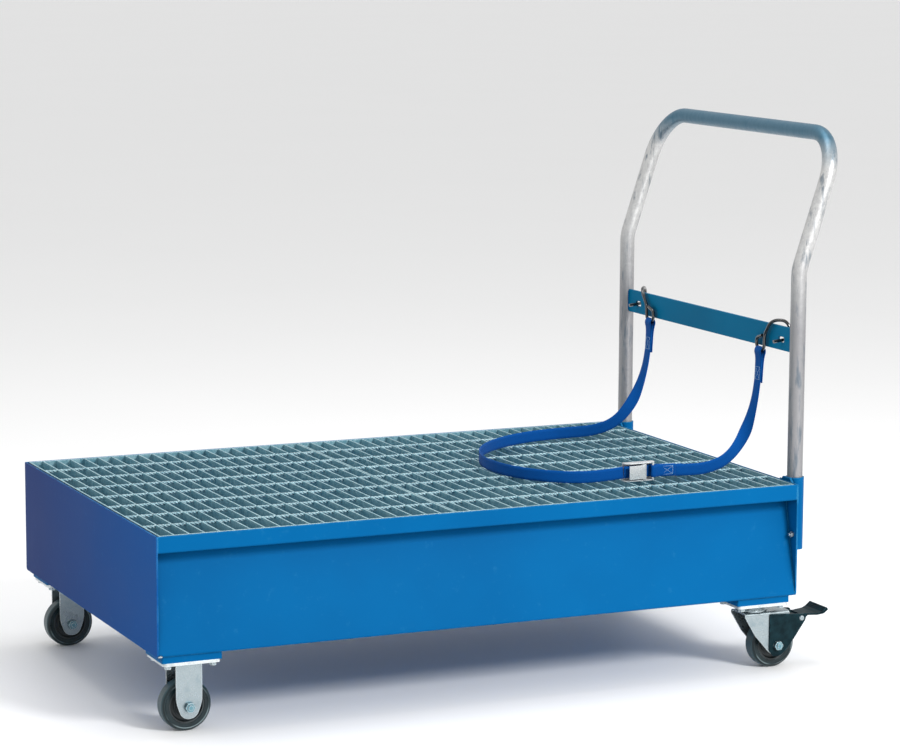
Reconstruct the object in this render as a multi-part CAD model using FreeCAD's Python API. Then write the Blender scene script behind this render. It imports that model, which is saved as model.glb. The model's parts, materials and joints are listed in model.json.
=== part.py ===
import FreeCAD, Part
import math
import os
from FreeCAD import Vector

os.makedirs("parts", exist_ok=True)

# A mobile spill tray for liquid drums: a folded and welded sump under two lift-out gratings, on two
# fixed castors at the left end and two braked swivel castors at the right end, with a tubular push
# handle in sockets and a cam-buckle strap hooked to the plate between the handle's legs.
# Millimetres. X runs along the tray towards the handle, Y across it, Z up. The origin is on the
# floor, under the centre of the overall box.

# ---- Tray ---------------------------------------------------------------------------------------
tray_length = 1376.0
tray_width = 857.0
tray_height = 231.0
sheet = 3.0
bend_radius = 5.0                # outside radius of the sheet's bends
corner_cut = 7.0                 # rounding of the end plates' corners
rim_height = 33.0
ledge_width = 45.0               # the ledge under the grating, seen from outside
earth_inset = 15.5               # tray's front side to the earthing bolt
earth_drop = 106.0               # rim to the earthing bolt
earth_radius = 3.0
earth_head = (10.0, 4.0)         # across flats, height
earth_nut_size = (10.0, 5.0)
earth_tail = 9.0                 # thread inside the sump

# ---- Gratings -----------------------------------------------------------------------------------
bar_depth = 30.0
bar_thickness = 3.0
bar_pitch = 30.2
rod_size = 5.5
cells_across = 8
panel_cells = {"left": 20, "right": 25}
panel_gap = 2.0
grating_side_gap = 3.0           # from the grating to the rim, along both long sides

# ---- Castors ------------------------------------------------------------------------------------
wheel_radius = 50.0
tyre_width = 32.0
rim_radius = 35.0
bore_radius = 7.55
running_gap = 0.05
mount_height = 143.0             # floor to the castor pads' underside
pad_size = (120.0, 100.0, 14.0)
plate_size = (115.0, 100.0, 6.0)
plate_bolts = (90.0, 76.0)       # spacing along X and Y
bolt_radius = 4.0
bolt_head = (13.0, 5.5)          # across flats, height
washer = (8.0, 1.5)              # radius, thickness
pad_thread = 12.0                # depth of the bolts' threaded holes
caster_inset_x = 72.0            # tray end to the centre of a castor plate
caster_inset_y = 57.5            # tray side to the centre of a castor plate
fork_half_width = 30.0
fork_sheet = 3.0
rigid_leg_half = 26.0
trail = 44.0                     # swivel axis to wheel axis
axle_radius = 5.0
axle_head = (17.0, 6.5)
axle_nut = (17.0, 8.0)
axle_tail = 2.0                  # thread standing past the nut
swivel_fork_top = 121.0
kingpin_radius = 6.0
kingpin_head = (19.0, 9.0)
bearing_gap = 0.5
race_height = 12.0
race_radius = 31.0
race_floor_thickness = 4.0
raceway_radius = 25.0
housing_sheet = 3.0
pedal_pivot = (101.0, 102.0)     # beyond the swivel axis, above the floor
pedal_travel = 15.0              # degrees
pedal_pin_radius = 3.0
rivet_head = (5.5, 4.0, 2.0)     # radius at the cheek, radius at the end, height
pedal_arm_half = 19.0
tread_half = 34.0
tread_start = 150.0              # beyond the swivel axis
arm_end = 110.0                  # where the arm starts to widen towards the tread
ear_sheet = 3.0
shoe_gap = 0.6                   # from the tyre, with the pedal pressed

# ---- Push handle --------------------------------------------------------------------------------
tube_radius = 16.0
tube_wall = 2.0
handle_offset = 20.0             # right end plate to the leg's axis
leg_spread = 756.0
kink_height = 821.0
crossbar_height = 1093.0
crossbar_reach = 90.0            # how far the legs lean out
kink_radius = 80.0
corner_radius = 100.0
socket_radius = 19.0
socket_height = 150.0
socket_above_rim = 7.0
socket_floor = 3.0
socket_plate = (4.0, 46.0)       # thickness, width
plate_corner = 9.0               # cut off the socket plate's top corners
screw_above_socket_foot = 85.0
screw_radius = 4.0
screw_grip = 2.0                 # shank between the boss and the screw's head
boss = (8.0, 7.0)                # radius, length past the socket

# ---- Strap plate and strap ----------------------------------------------------------------------
strap_plate_height = 50.0
strap_plate_top = 699.0
strap_plate_thickness = 5.0
slot_spacing = 632.0
slot_length = 26.0
slot_width = 12.0
slot_height = 671.0
hook_wire = 3.5                  # radius
webbing = 25.0
buckle_from_plate = 300.0        # strap plate to the buckle's middle, along the tray
buckle_y = -262.0
buckle_length = 70.0
buckle_width = 38.0
buckle_depth = 18.0
buckle_sheet = 2.0
buckle_lip = 6.0                 # height of the cheeks' sloped ends
cam_offset = 8.0                 # buckle's middle to the cam's pin
bar_inset = 6.0                  # buckle's end to the bar of the short webbing
pin_offset = 6.0                 # buckle's middle to its pins, across the strap
cam_radius = 6.0
cam_side_gap = 1.0
pin_radius = 2.5
strap_end_gap = 1.5              # buckle to the webbing's solid

# ---- Worked out from the above ------------------------------------------------------------------
overall_length = tray_length + handle_offset + crossbar_reach + tube_radius
tray_left = -overall_length / 2
tray_right = tray_left + tray_length
side = tray_width / 2
tray_bottom = mount_height + pad_size[2]
rim_top = tray_bottom + tray_height
ledge_bottom = rim_top - rim_height
wall_slope = ledge_width / (ledge_bottom - tray_bottom)
grating_top = ledge_bottom + sheet + bar_depth
grating_half_width = side - sheet - grating_side_gap
rod_pitch = 2 * grating_half_width / cells_across
caster_y = side - caster_inset_y
rigid_x = tray_left + caster_inset_x
swivel_x = tray_right - caster_inset_x
plate_bottom = mount_height - plate_size[2]
fork_inside = fork_half_width - fork_sheet
race_floor = swivel_fork_top + race_floor_thickness
cheek_outside = fork_half_width + housing_sheet
leg_x = tray_right + handle_offset
leg_y = leg_spread / 2
socket_top = rim_top + socket_above_rim
socket_bottom = socket_top - socket_height
screw_height = socket_bottom + screw_above_socket_foot
buckle_x = leg_x - buckle_from_plate
corners = {"front": -1, "rear": 1}


# ---- Helpers ------------------------------------------------------------------------------------
def put(node, *solids):
    """Write one node: a solid, or a group of separate solids."""
    shape = solids[0] if len(solids) == 1 else Part.makeCompound(list(solids))
    shape.exportStep("parts/" + node + ".step")
    print(f"{node:24s} solids {len(shape.Solids):3d}  volume {shape.Volume / 1000:10.2f} cm3"
          f"  valid {shape.isValid()}")


def moved(shape, x=0.0, y=0.0, z=0.0):
    copy = shape.copy()
    copy.translate(Vector(x, y, z))
    return copy


def mirrored(shape):
    """The same shape on the other side of the tray's long axis."""
    return shape.mirror(Vector(0, 0, 0), Vector(0, 1, 0))


def block(x0, x1, y0, y1, z0, z1):
    return Part.makeBox(x1 - x0, y1 - y0, z1 - z0, Vector(x0, y0, z0))


def rod_x(radius, x0, x1, y, z):
    return Part.makeCylinder(radius, x1 - x0, Vector(x0, y, z), Vector(1, 0, 0))


def rod_y(radius, x, y0, y1, z):
    return Part.makeCylinder(radius, y1 - y0, Vector(x, y0, z), Vector(0, 1, 0))


def rod_z(radius, x, y, z0, z1):
    return Part.makeCylinder(radius, z1 - z0, Vector(x, y, z0))


def round_corner(before, corner, after, radius):
    """Start, middle and end of the arc that rounds a corner."""
    back = (before - corner).normalize()
    ahead = (after - corner).normalize()
    half_turn = (math.pi - back.getAngle(ahead)) / 2
    setback = radius * math.tan(half_turn)
    rise = radius / math.cos(half_turn) - radius
    middle = corner + (back + ahead).normalize() * rise
    return corner + back * setback, middle, corner + ahead * setback


def rounded_wire(points, radii, closed):
    """Straight runs joined by tangent arcs. A radius of 0 leaves its corner sharp."""
    count = len(points)
    stops = []
    for i, (point, radius) in enumerate(zip(points, radii)):
        at_end = not closed and i in (0, count - 1)
        if radius == 0 or at_end:
            stops.append((point, None, point))
        else:
            stops.append(round_corner(points[i - 1], point, points[(i + 1) % count], radius))
    edges = []
    for i, (start, middle, end) in enumerate(stops):
        if middle is not None:
            edges.append(Part.Arc(start, middle, end).toShape())
        following = stops[(i + 1) % count][0]
        if (closed or i < count - 1) and (following - end).Length > 1e-6:
            edges.append(Part.LineSegment(end, following).toShape())
    return Part.Wire(edges)


def across_x(outline, radii, x0, x1):
    """A (y, z) outline, extruded along X."""
    wire = rounded_wire([Vector(x0, y, z) for y, z in outline], radii, True)
    return Part.Face(wire).extrude(Vector(x1 - x0, 0, 0))


def across_y(outline, radii, y0, y1):
    """An (x, z) outline, extruded along Y."""
    wire = rounded_wire([Vector(x, y0, z) for x, z in outline], radii, True)
    return Part.Face(wire).extrude(Vector(0, y1 - y0, 0))


def upwards(outline, radii, z0, z1):
    """An (x, y) outline, extruded along Z."""
    wire = rounded_wire([Vector(x, y, z0) for x, y in outline], radii, True)
    return Part.Face(wire).extrude(Vector(0, 0, z1 - z0))


def rectangle(cx, cy, width, depth):
    return [(cx - width / 2, cy - depth / 2), (cx + width / 2, cy - depth / 2),
            (cx + width / 2, cy + depth / 2), (cx - width / 2, cy + depth / 2)]


def turned_on_y(outline, radii, x, y, z):
    """A (radius, y) outline, revolved about an axis along Y."""
    wire = rounded_wire([Vector(r, along, 0) for r, along in outline], radii, True)
    solid = Part.Face(wire).revolve(Vector(0, 0, 0), Vector(0, 1, 0), 360)
    return moved(solid, x, y, z)


def turned_on_z(outline, radii, x, y):
    """A (radius, z) outline, revolved about an axis along Z."""
    wire = rounded_wire([Vector(r, 0, up) for r, up in outline], radii, True)
    solid = Part.Face(wire).revolve(Vector(0, 0, 0), Vector(0, 0, 1), 360)
    return moved(solid, x, y)


def hexagon(across_flats, height, base, direction):
    """A hexagonal head or nut with its outer corners rounded off."""
    reach = across_flats / math.sqrt(3)
    points = [Vector(reach * math.cos(math.radians(60 * i)), reach * math.sin(math.radians(60 * i)), 0)
              for i in range(7)]
    prism = Part.Face(Part.makePolygon(points)).extrude(Vector(0, 0, height))
    dome = Part.makeCone(reach + height, 0.95 * across_flats / 2, 1.1 * height)
    head = prism.common(dome)
    head.Placement = FreeCAD.Placement(base, FreeCAD.Rotation(Vector(0, 0, 1), direction))
    return head


def pipe(path, radius):
    """A round solid along a path."""
    start = path.OrderedEdges[0]
    tangent = start.tangentAt(start.FirstParameter)
    profile = Part.Wire(Part.makeCircle(radius, start.valueAt(start.FirstParameter), tangent))
    return path.makePipeShell([profile], True, False)


# ---- Tray ---------------------------------------------------------------------------------------
def sump_trough():
    """One folded sheet: rim, grating ledge, wall leaning out as it goes down, floor, and back up."""
    lean = sheet * math.sqrt(1 + wall_slope ** 2)
    outer = [(side, rim_top), (side, ledge_bottom), (side - ledge_width, ledge_bottom), (side, tray_bottom)]
    inner = [(side - lean - sheet * wall_slope, tray_bottom + sheet),
             (side - ledge_width - lean - sheet * wall_slope, ledge_bottom + sheet),
             (side - sheet, ledge_bottom + sheet), (side - sheet, rim_top)]
    inside_radius = bend_radius - sheet
    outer_radii = [1.0, bend_radius, inside_radius, bend_radius]
    inner_radii = [inside_radius, bend_radius, inside_radius, 1.0]
    outline = outer + [(-y, z) for y, z in outer[::-1] + inner[::-1]] + inner
    radii = outer_radii + outer_radii[::-1] + inner_radii[::-1] + inner_radii
    return across_x(outline, radii, tray_left + sheet, tray_right - sheet)


def end_plate(x0):
    outline = [(-side, tray_bottom), (side, tray_bottom), (side, rim_top), (-side, rim_top)]
    radii = [corner_cut, corner_cut, 2.0, 2.0]
    return across_x(outline, radii, x0, x0 + sheet)


def tray():
    put("sump_trough", sump_trough())
    put("end_plate_left", end_plate(tray_left))
    earth_bolt()
    caster_pads()


def earth_bolt():
    """The right end plate, with the earthing bolt through it and the nut inside the sump."""
    y = -side + earth_inset
    z = rim_top - earth_drop
    inside = tray_right - sheet
    hole = rod_x(earth_radius + 0.3, inside, tray_right, y, z)
    put("end_plate_right", end_plate(inside).cut(hole))
    shank = rod_x(earth_radius, inside - earth_tail, tray_right, y, z)
    head = hexagon(*earth_head, Vector(tray_right, y, z), Vector(1, 0, 0))
    put("earth_bolt", shank.fuse(head).removeSplitter())
    nut = hexagon(*earth_nut_size, Vector(inside, y, z), Vector(-1, 0, 0))
    put("earth_nut", nut.cut(shank))


def caster_pads():
    holes = Part.makeCompound([rod_z(bolt_radius, x, y, mount_height, mount_height + pad_thread)
                               for x, y in plate_bolt_places()])
    pads = [upwards(rectangle(x, y, pad_size[0], pad_size[1]), [4.0] * 4, mount_height, tray_bottom)
            for x in (rigid_x, swivel_x) for y in (-caster_y, caster_y)]
    put("caster_pads", *[pad.cut(holes) for pad in pads])


# ---- Gratings -----------------------------------------------------------------------------------
def bearing_bar(x):
    """A flat bar on edge across the tray, notched along its top for the cross rods."""
    inner = grating_half_width - bar_thickness
    low = grating_top - bar_depth
    notch = grating_top - rod_size
    outline = [(inner, low), (-inner, low), (-inner, grating_top)]
    for i in range(1, cells_across):
        y = -grating_half_width + i * rod_pitch
        outline += [(y - rod_size / 2, grating_top), (y - rod_size / 2, notch),
                    (y + rod_size / 2, notch), (y + rod_size / 2, grating_top)]
    outline += [(inner, grating_top)]
    x0 = x - bar_thickness / 2
    return across_x(outline, [0] * len(outline), x0, x0 + bar_thickness)


def grating(name, x0):
    cells = panel_cells[name]
    x1 = x0 + cells * bar_pitch
    low = grating_top - bar_depth
    inner = grating_half_width - bar_thickness
    sides = [block(x0, x1, y, y + bar_thickness, low, grating_top) for y in (-grating_half_width, inner)]
    ends = [block(x, x + bar_thickness, -inner, inner, low, grating_top) for x in (x0, x1 - bar_thickness)]
    put("grating_" + name + "_border", *sides, *ends)
    put("grating_" + name + "_bars", *[bearing_bar(x0 + i * bar_pitch) for i in range(1, cells)])
    rods = []
    for i in range(1, cells_across):
        y = -grating_half_width + i * rod_pitch
        rods.append(block(x0 + bar_thickness, x1 - bar_thickness, y - rod_size / 2, y + rod_size / 2,
                          grating_top - rod_size, grating_top))
    put("grating_" + name + "_rods", *rods)
    return x1


def gratings():
    total = sum(panel_cells.values()) * bar_pitch + panel_gap
    start = (tray_left + tray_right - total) / 2
    left_end = grating("left", start)
    grating("right", left_end + panel_gap)


# ---- Castors ------------------------------------------------------------------------------------
def plate_bolt_places():
    return [(x + sx * plate_bolts[0] / 2, y + sy * plate_bolts[1] / 2)
            for x in (rigid_x, swivel_x) for y in (-caster_y, caster_y)
            for sx in (-1, 1) for sy in (-1, 1)]


def caster_plate(x, y):
    plate = upwards(rectangle(x, y, plate_size[0], plate_size[1]), [8.0] * 4, plate_bottom, mount_height)
    for bx, by in plate_bolt_places():
        plate = plate.cut(rod_z(bolt_radius + 0.5, bx, by, plate_bottom, mount_height))
    return plate


def caster_bolts():
    bolts = []
    for x, y in plate_bolt_places():
        under_washer = plate_bottom - washer[1]
        shank = rod_z(bolt_radius, x, y, plate_bottom, mount_height + pad_thread)
        flange = rod_z(washer[0], x, y, under_washer, plate_bottom)
        head = hexagon(*bolt_head, Vector(x, y, under_washer), Vector(0, 0, -1))
        bolts.append(shank.fuse([flange, head]).removeSplitter())
    put("caster_bolts", *bolts)


def wheel(node, x, y):
    """A rubber tyre bonded to a moulded centre that turns on the axle's sleeve."""
    half = tyre_width / 2
    tyre_outline = [(rim_radius, -half + 1), (wheel_radius - 4, -half), (wheel_radius, -half + 5),
                    (wheel_radius, half - 5), (wheel_radius - 4, half), (rim_radius, half - 1)]
    put(node + "_tyre", turned_on_y(tyre_outline, [1, 4, 4, 4, 4, 1], x, y, wheel_radius))
    hub_half = fork_inside - 0.5
    half_side = [(bore_radius, hub_half), (12.5, hub_half), (14, 6), (21.5, 6), (21.5, 9), (24, 9), (24, 5),
                 (31, 5), (32, half - 2), (rim_radius, half - 2)]
    outline = [(r, -along) for r, along in half_side] + half_side[::-1]
    radii = [0, 1.5, 2, 1, 0.8, 0.8, 1, 2, 0.8, 0]
    put(node + "_centre", turned_on_y(outline, radii + radii[::-1], x, y, wheel_radius))


def sleeve(x, y):
    tube = rod_y(bore_radius - running_gap, x, y - fork_inside, y + fork_inside, wheel_radius)
    return tube.cut(rod_y(axle_radius + running_gap, x, y - fork_inside, y + fork_inside, wheel_radius))


def axle_bolt(x, y, half_grip):
    """A hexagon bolt along Y with its head at the rear, and its thread standing past the front nut."""
    shank = rod_y(axle_radius, x, y - half_grip - axle_nut[1] - axle_tail, y + half_grip, wheel_radius)
    head = hexagon(*axle_head, Vector(x, y + half_grip, wheel_radius), Vector(0, 1, 0))
    return shank.fuse(head).removeSplitter()


def nut_on_axle(x, y, half_grip):
    nut = hexagon(*axle_nut, Vector(x, y - half_grip, wheel_radius), Vector(0, -1, 0))
    return nut.cut(rod_y(axle_radius, x, y - half_grip - axle_nut[1], y - half_grip, wheel_radius))


def folded_fork(leg_outline, leg_radii, top, x, y, axle_x):
    """A sheet bent into an upside-down U, with both legs cut to the same outline."""
    xs = [point[0] for point in leg_outline]
    under = top - fork_sheet
    section = [(-fork_half_width, 0), (-fork_half_width, top), (fork_half_width, top), (fork_half_width, 0),
               (fork_inside, 0), (fork_inside, under), (-fork_inside, under), (-fork_inside, 0)]
    bend = across_x(section, [0, 6, 6, 0, 0, 3, 3, 0], min(xs), max(xs))
    legs = across_y(leg_outline, leg_radii, -fork_half_width, fork_half_width)
    axle_hole = rod_y(axle_radius + running_gap, axle_x, -fork_half_width, fork_half_width, wheel_radius)
    return moved(bend.common(legs).cut(axle_hole), x, y)


def rigid_casters():
    outline = [(-rigid_leg_half, plate_bottom), (-rigid_leg_half, 60), (-14, 27),
               (14, 27), (rigid_leg_half, 60), (rigid_leg_half, plate_bottom)]
    radii = [0, 60, 19, 19, 60, 0]
    bolts, nuts, sleeves = [], [], []
    for name, sign in corners.items():
        y = sign * caster_y
        put("rigid_plate_" + name, caster_plate(rigid_x, y))
        put("rigid_fork_" + name, folded_fork(outline, radii, plate_bottom, rigid_x, y, 0))
        wheel("rigid_wheel_" + name, rigid_x, y)
        bolts.append(axle_bolt(rigid_x, y, fork_half_width))
        nuts.append(nut_on_axle(rigid_x, y, fork_half_width))
        sleeves.append(sleeve(rigid_x, y))
    put("rigid_axle_bolts", *bolts)
    put("rigid_axle_nuts", *nuts)
    put("rigid_axle_sleeves", *sleeves)


def swivel_plate(x, y):
    """The castor's top plate with the fixed half of the swivel bearing under it."""
    raceway = rod_z(raceway_radius, x, y, race_floor + bearing_gap, plate_bottom)
    kingpin_hole = rod_z(kingpin_radius, x, y, race_floor, mount_height)
    return caster_plate(x, y).fuse(raceway).cut(kingpin_hole).removeSplitter()


def kingpin(x, y):
    """The pin riveted into the top plate, with a hexagon head that holds the fork up from below."""
    head_top = swivel_fork_top - fork_sheet - bearing_gap
    shank = rod_z(kingpin_radius, x, y, head_top, mount_height)
    head = hexagon(*kingpin_head, Vector(x, y, head_top), Vector(0, 0, -1))
    return shank.fuse(head).removeSplitter()


def swivel_fork(x, y):
    top = swivel_fork_top
    outline = [(-31, top), (-31, 113), (-7, 73), (22, 40), (34, 29), (54, 29), (65, 44), (76, 100), (72, top)]
    radii = [0, 4, 20, 15, 10, 12, 20, 12, 0]
    fork = folded_fork(outline, radii, top, x, y, trail)
    return fork.cut(rod_z(kingpin_radius + running_gap, x, y, top - fork_sheet, top))


def swivel_race(x, y):
    """The moving half of the swivel bearing: a pressed cup on the fork's crown."""
    low = swivel_fork_top
    high = low + race_height
    bore = kingpin_radius + bearing_gap
    cup = raceway_radius + bearing_gap
    outline = [(bore, low), (race_radius - 1, low), (race_radius, low + 3), (race_radius - 3.5, high),
               (cup, high), (cup, race_floor), (bore, race_floor)]
    return turned_on_z(outline, [0, 1.5, 4, 0.8, 0, 0, 0], x, y)


def brake_housing(x, y):
    """A black pressed cover: a cheek over each fork leg, joined behind the wheel."""
    outline = [(26, 116), (113, 110), (109, 97), (84, 62), (67, 41), (52, 27.5), (34, 27.5), (26, 40)]
    radii = [3, 6, 8, 20, 12, 12, 8, 8]
    near = across_y(outline, radii, -cheek_outside, -fork_half_width)
    far = across_y(outline, radii, fork_half_width, cheek_outside)
    bridge = block(78, 86, -cheek_outside, cheek_outside, 103, 110)
    cover = near.fuse([far, bridge]).removeSplitter()
    px, pz = pedal_pivot
    pin_hole = rod_y(pedal_pin_radius, px, -cheek_outside, cheek_outside, pz)
    axle_hole = rod_y(axle_radius + running_gap, trail, -cheek_outside, cheek_outside, wheel_radius)
    return moved(cover.cut([pin_hole, axle_hole]), x, y)


def pedal_pin(x, y):
    px, pz = pedal_pivot
    pin = rod_y(pedal_pin_radius, px, -cheek_outside, cheek_outside, pz)
    for direction in (-1, 1):
        end = Vector(px, direction * cheek_outside, pz)
        pin = pin.fuse(Part.makeCone(*rivet_head, end, Vector(0, direction, 0)))
    return moved(pin.removeSplitter(), x, y)


def brake_shoe():
    """The block that the pressed pedal brings against the tyre, here with the pedal released."""
    px, pz = pedal_pivot
    radius = wheel_radius + shoe_gap
    low, middle, high = [Vector(trail + radius * math.cos(math.radians(angle)), 0,
                                wheel_radius + radius * math.sin(math.radians(angle)))
                         for angle in (26, 35, 44)]
    corner_points = [high, Vector(94, 0, 107), Vector(109, 0, 104), Vector(97, 0, 80), low]
    edges = [Part.LineSegment(start, end).toShape() for start, end in zip(corner_points, corner_points[1:])]
    edges.append(Part.Arc(low, middle, high).toShape())
    half_width = pedal_arm_half - ear_sheet
    shoe = Part.Face(Part.Wire(edges)).extrude(Vector(0, 2 * half_width, 0))
    shoe.translate(Vector(0, -half_width, 0))
    shoe.rotate(Vector(px, 0, pz), Vector(0, 1, 0), -pedal_travel)
    return shoe


def brake_pedal(x, y):
    """An arm on the pedal pin, with a wide turned-up tread at its end and the brake shoe under its pivot."""
    px, pz = pedal_pivot
    strip = [(104, 104), (140, 104.5), (153, 107.5), (163, 114.5),
             (160, 120), (149, 111), (138, 108), (104, 108)]
    foot = across_y(strip, [0, 8, 6, 1.5, 1.5, 6, 8, 0], -tread_half, tread_half)
    for side_sign in corners.values():
        beside_arm = [(px, side_sign * pedal_arm_half), (arm_end, side_sign * pedal_arm_half),
                      (tread_start, side_sign * tread_half), (px, side_sign * tread_half)]
        foot = foot.cut(upwards(beside_arm, [0] * 4, 100, 125))
    ear_outline = [(92, 93), (92, 108), (130, 108), (110, 93)]
    ears = [across_y(ear_outline, [8, 3, 1, 8], y0, y0 + ear_sheet)
            for y0 in (-pedal_arm_half, pedal_arm_half - ear_sheet)]
    pedal = foot.fuse(ears + [brake_shoe()]).removeSplitter()
    bore = rod_y(pedal_pin_radius + running_gap, px, -tread_half, tread_half, pz)
    return moved(pedal.cut(bore), x, y)


def swivel_casters():
    pins = []
    for name, sign in corners.items():
        y = sign * caster_y
        put("swivel_plate_" + name, swivel_plate(swivel_x, y))
        put("swivel_race_" + name, swivel_race(swivel_x, y))
        put("swivel_fork_" + name, swivel_fork(swivel_x, y))
        put("brake_housing_" + name, brake_housing(swivel_x, y))
        put("pedal_pin_" + name, pedal_pin(swivel_x, y))
        put("brake_pedal_" + name, brake_pedal(swivel_x, y))
        put("swivel_axle_bolt_" + name, axle_bolt(swivel_x + trail, y, cheek_outside))
        put("swivel_axle_nut_" + name, nut_on_axle(swivel_x + trail, y, cheek_outside))
        put("swivel_axle_sleeve_" + name, sleeve(swivel_x + trail, y))
        wheel("swivel_wheel_" + name, swivel_x + trail, y)
        pins.append(kingpin(swivel_x, y))
    put("kingpins", *pins)


# ---- Push handle --------------------------------------------------------------------------------
def handle_socket():
    """The front socket: a tube with a weld plate, a closed bottom and a boss for the clamping screw."""
    thickness, width = socket_plate
    boss_radius, boss_length = boss
    boss_end = -leg_y + socket_radius + boss_length
    body = rod_z(socket_radius, leg_x, -leg_y, socket_bottom, socket_top)
    near = -leg_y - width / 2
    far = -leg_y + width / 2
    shoulder = socket_top - plate_corner
    outline = [(near, socket_bottom), (far, socket_bottom), (far, shoulder), (far - plate_corner, socket_top),
               (near + plate_corner, socket_top), (near, shoulder)]
    back = across_x(outline, [0] * len(outline), tray_right, tray_right + thickness)
    screw_boss = rod_y(boss_radius, leg_x, -leg_y, boss_end, screw_height)
    bore = rod_z(tube_radius + running_gap, leg_x, -leg_y, socket_bottom + socket_floor, socket_top)
    thread = rod_y(screw_radius, leg_x, -leg_y, boss_end, screw_height)
    return body.fuse([back, screw_boss]).removeSplitter().cut([bore, thread])


def clamping_screw():
    under_head = -leg_y + socket_radius + boss[1] + screw_grip
    shank = rod_y(screw_radius, leg_x, -leg_y + tube_radius, under_head, screw_height)
    head = hexagon(*bolt_head, Vector(leg_x, under_head, screw_height), Vector(0, 1, 0))
    return shank.fuse(head).removeSplitter()


def push_handle():
    """A bent tube: two legs that lean out above a kink, and a crossbar."""
    foot = socket_bottom + socket_floor
    top_x = leg_x + crossbar_reach
    front = [Vector(leg_x, -leg_y, foot), Vector(leg_x, -leg_y, kink_height),
             Vector(top_x, -leg_y, crossbar_height)]
    rear = [Vector(point.x, leg_y, point.z) for point in front[::-1]]
    radii = [0, kink_radius, corner_radius, corner_radius, kink_radius, 0]
    path = rounded_wire(front + rear, radii, False)
    return pipe(path, tube_radius).cut(pipe(path, tube_radius - tube_wall))


def slot(y):
    """A cutter for one round-ended slot."""
    outline = rectangle(y, slot_height, slot_length, slot_width)
    end_radius = slot_width / 2 - 0.001
    return across_x(outline, [end_radius] * 4, leg_x - strap_plate_thickness, leg_x + strap_plate_thickness)


def strap_plate():
    """A flat bar between the legs, hollowed at its ends to the tube, with a slot near each end."""
    half = strap_plate_thickness / 2
    low = strap_plate_top - strap_plate_height
    plate = block(leg_x - half, leg_x + half, -leg_y, leg_y, low, strap_plate_top)
    for sign in corners.values():
        leg = rod_z(tube_radius, leg_x, sign * leg_y, low, strap_plate_top)
        plate = plate.cut([leg, slot(sign * slot_spacing / 2)])
    return plate


def handle():
    front = handle_socket()
    put("handle_socket_front", front)
    put("handle_socket_rear", mirrored(front))
    screw = clamping_screw()
    put("clamping_screws", screw, mirrored(screw))
    put("push_handle", push_handle())
    put("strap_plate", strap_plate())


# ---- Strap --------------------------------------------------------------------------------------
def strap_hook():
    """An S of coated wire: over the plate and back through its front slot, with an eye for the webbing."""
    slot_y = -slot_spacing / 2
    route = [(-23, -4, -3), (17, -4, 1), (15, 0, 38), (-10, 28, 38), (-10, 54, 4),
             (-10, 56, -31), (-10, 88, -31), (-10, 86, -6), (-10, 64, 1)]
    points = [Vector(leg_x + x, slot_y + y, slot_height + z) for x, y, z in route]
    radii = [0, 13, 18, 29, 25, 14.5, 14.5, 9, 0]
    return pipe(rounded_wire(points, radii, False), hook_wire)


def webbing_radii(points):
    """The largest arcs that the runs allow: 0.45 of the shorter run at each corner."""
    radii = [0.0]
    for before, corner, after in zip(points, points[1:], points[2:]):
        shorter = min((corner - before).Length, (after - corner).Length)
        half_turn = (math.pi - (before - corner).getAngle(after - corner)) / 2
        radii.append(0.45 * shorter / math.tan(half_turn))
    return radii + [0.0]


def webbing_tube(node, route):
    """One part of the strap as a round solid; the route is measured from the strap plate's middle plane."""
    points = [Vector(leg_x + x, y, z) for x, y, z in route]
    radii = webbing_radii(points)
    print(node, "radii", [round(radius) for radius in radii[1:-1]])
    path = rounded_wire(points, radii, False)
    solid = pipe(path, webbing / 2)
    section = math.pi * (webbing / 2) ** 2
    print(node, "length", round(path.Length), "volume over section", round(solid.Volume / section))
    put(node, solid)


def strap():
    """The strap as it lies without a drum: hooked at both ends, its loop standing on edge on the grating."""
    hook = strap_hook()
    put("strap_hooks", hook, mirrored(hook))
    on_edge = grating_top + webbing / 2
    buckle_end = buckle_length / 2 + strap_end_gap
    buckle_middle = grating_top + buckle_width / 2
    hanging = [(-10, -244, 634), (-14, -244, 575), (-26, -246, 515), (-50, -250, 457), (-90, -254, 415)]
    lead = [(-142, -256, on_edge), (-200, -259, on_edge + 2)]
    into_buckle = (buckle_end - buckle_from_plate, buckle_y, buckle_middle)
    webbing_tube("strap_fixed_part", hanging + lead + [into_buckle])
    out_of_buckle = (-buckle_end - buckle_from_plate, buckle_y, buckle_middle)
    lying = [(-448, -237), (-492, -196), (-522, -140), (-536, -76), (-534, -10), (-516, 54), (-484, 112),
             (-440, 162), (-386, 203), (-326, 233), (-262, 250), (-200, 256), (-142, 257)]
    loop = [out_of_buckle, (-392, -258, on_edge + 1)] + [(x, y, on_edge) for x, y in lying]
    webbing_tube("strap_long_part", loop + [(x, -y, z) for x, y, z in hanging[::-1]])


def buckle_pins():
    """The cam's pin, and the bar that the short webbing is sewn round."""
    return [rod_z(pin_radius, buckle_x + x, buckle_y - pin_offset, grating_top, grating_top + buckle_width)
            for x in (cam_offset, buckle_length / 2 - bar_inset)]


def buckle_frame():
    """A channel standing on one cheek, with its back towards the inside of the loop."""
    x0 = buckle_x - buckle_length / 2
    x1 = buckle_x + buckle_length / 2
    y0 = buckle_y - buckle_depth / 2
    y1 = buckle_y + buckle_depth / 2
    top = grating_top + buckle_width
    channel = block(x0, x1, y0, y1, grating_top, top)
    between = block(x0, x1, y0, y1 - buckle_sheet, grating_top + buckle_sheet, top - buckle_sheet)
    channel = channel.cut(between)
    slope = 2 * buckle_lip
    cheek = [(x0, y1), (x0, y0 + buckle_lip), (x0 + slope, y0),
             (x1 - slope, y0), (x1, y0 + buckle_lip), (x1, y1)]
    channel = channel.common(upwards(cheek, [1, 5, 6, 6, 5, 1], grating_top, top))
    return channel.cut(buckle_pins())


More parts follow.
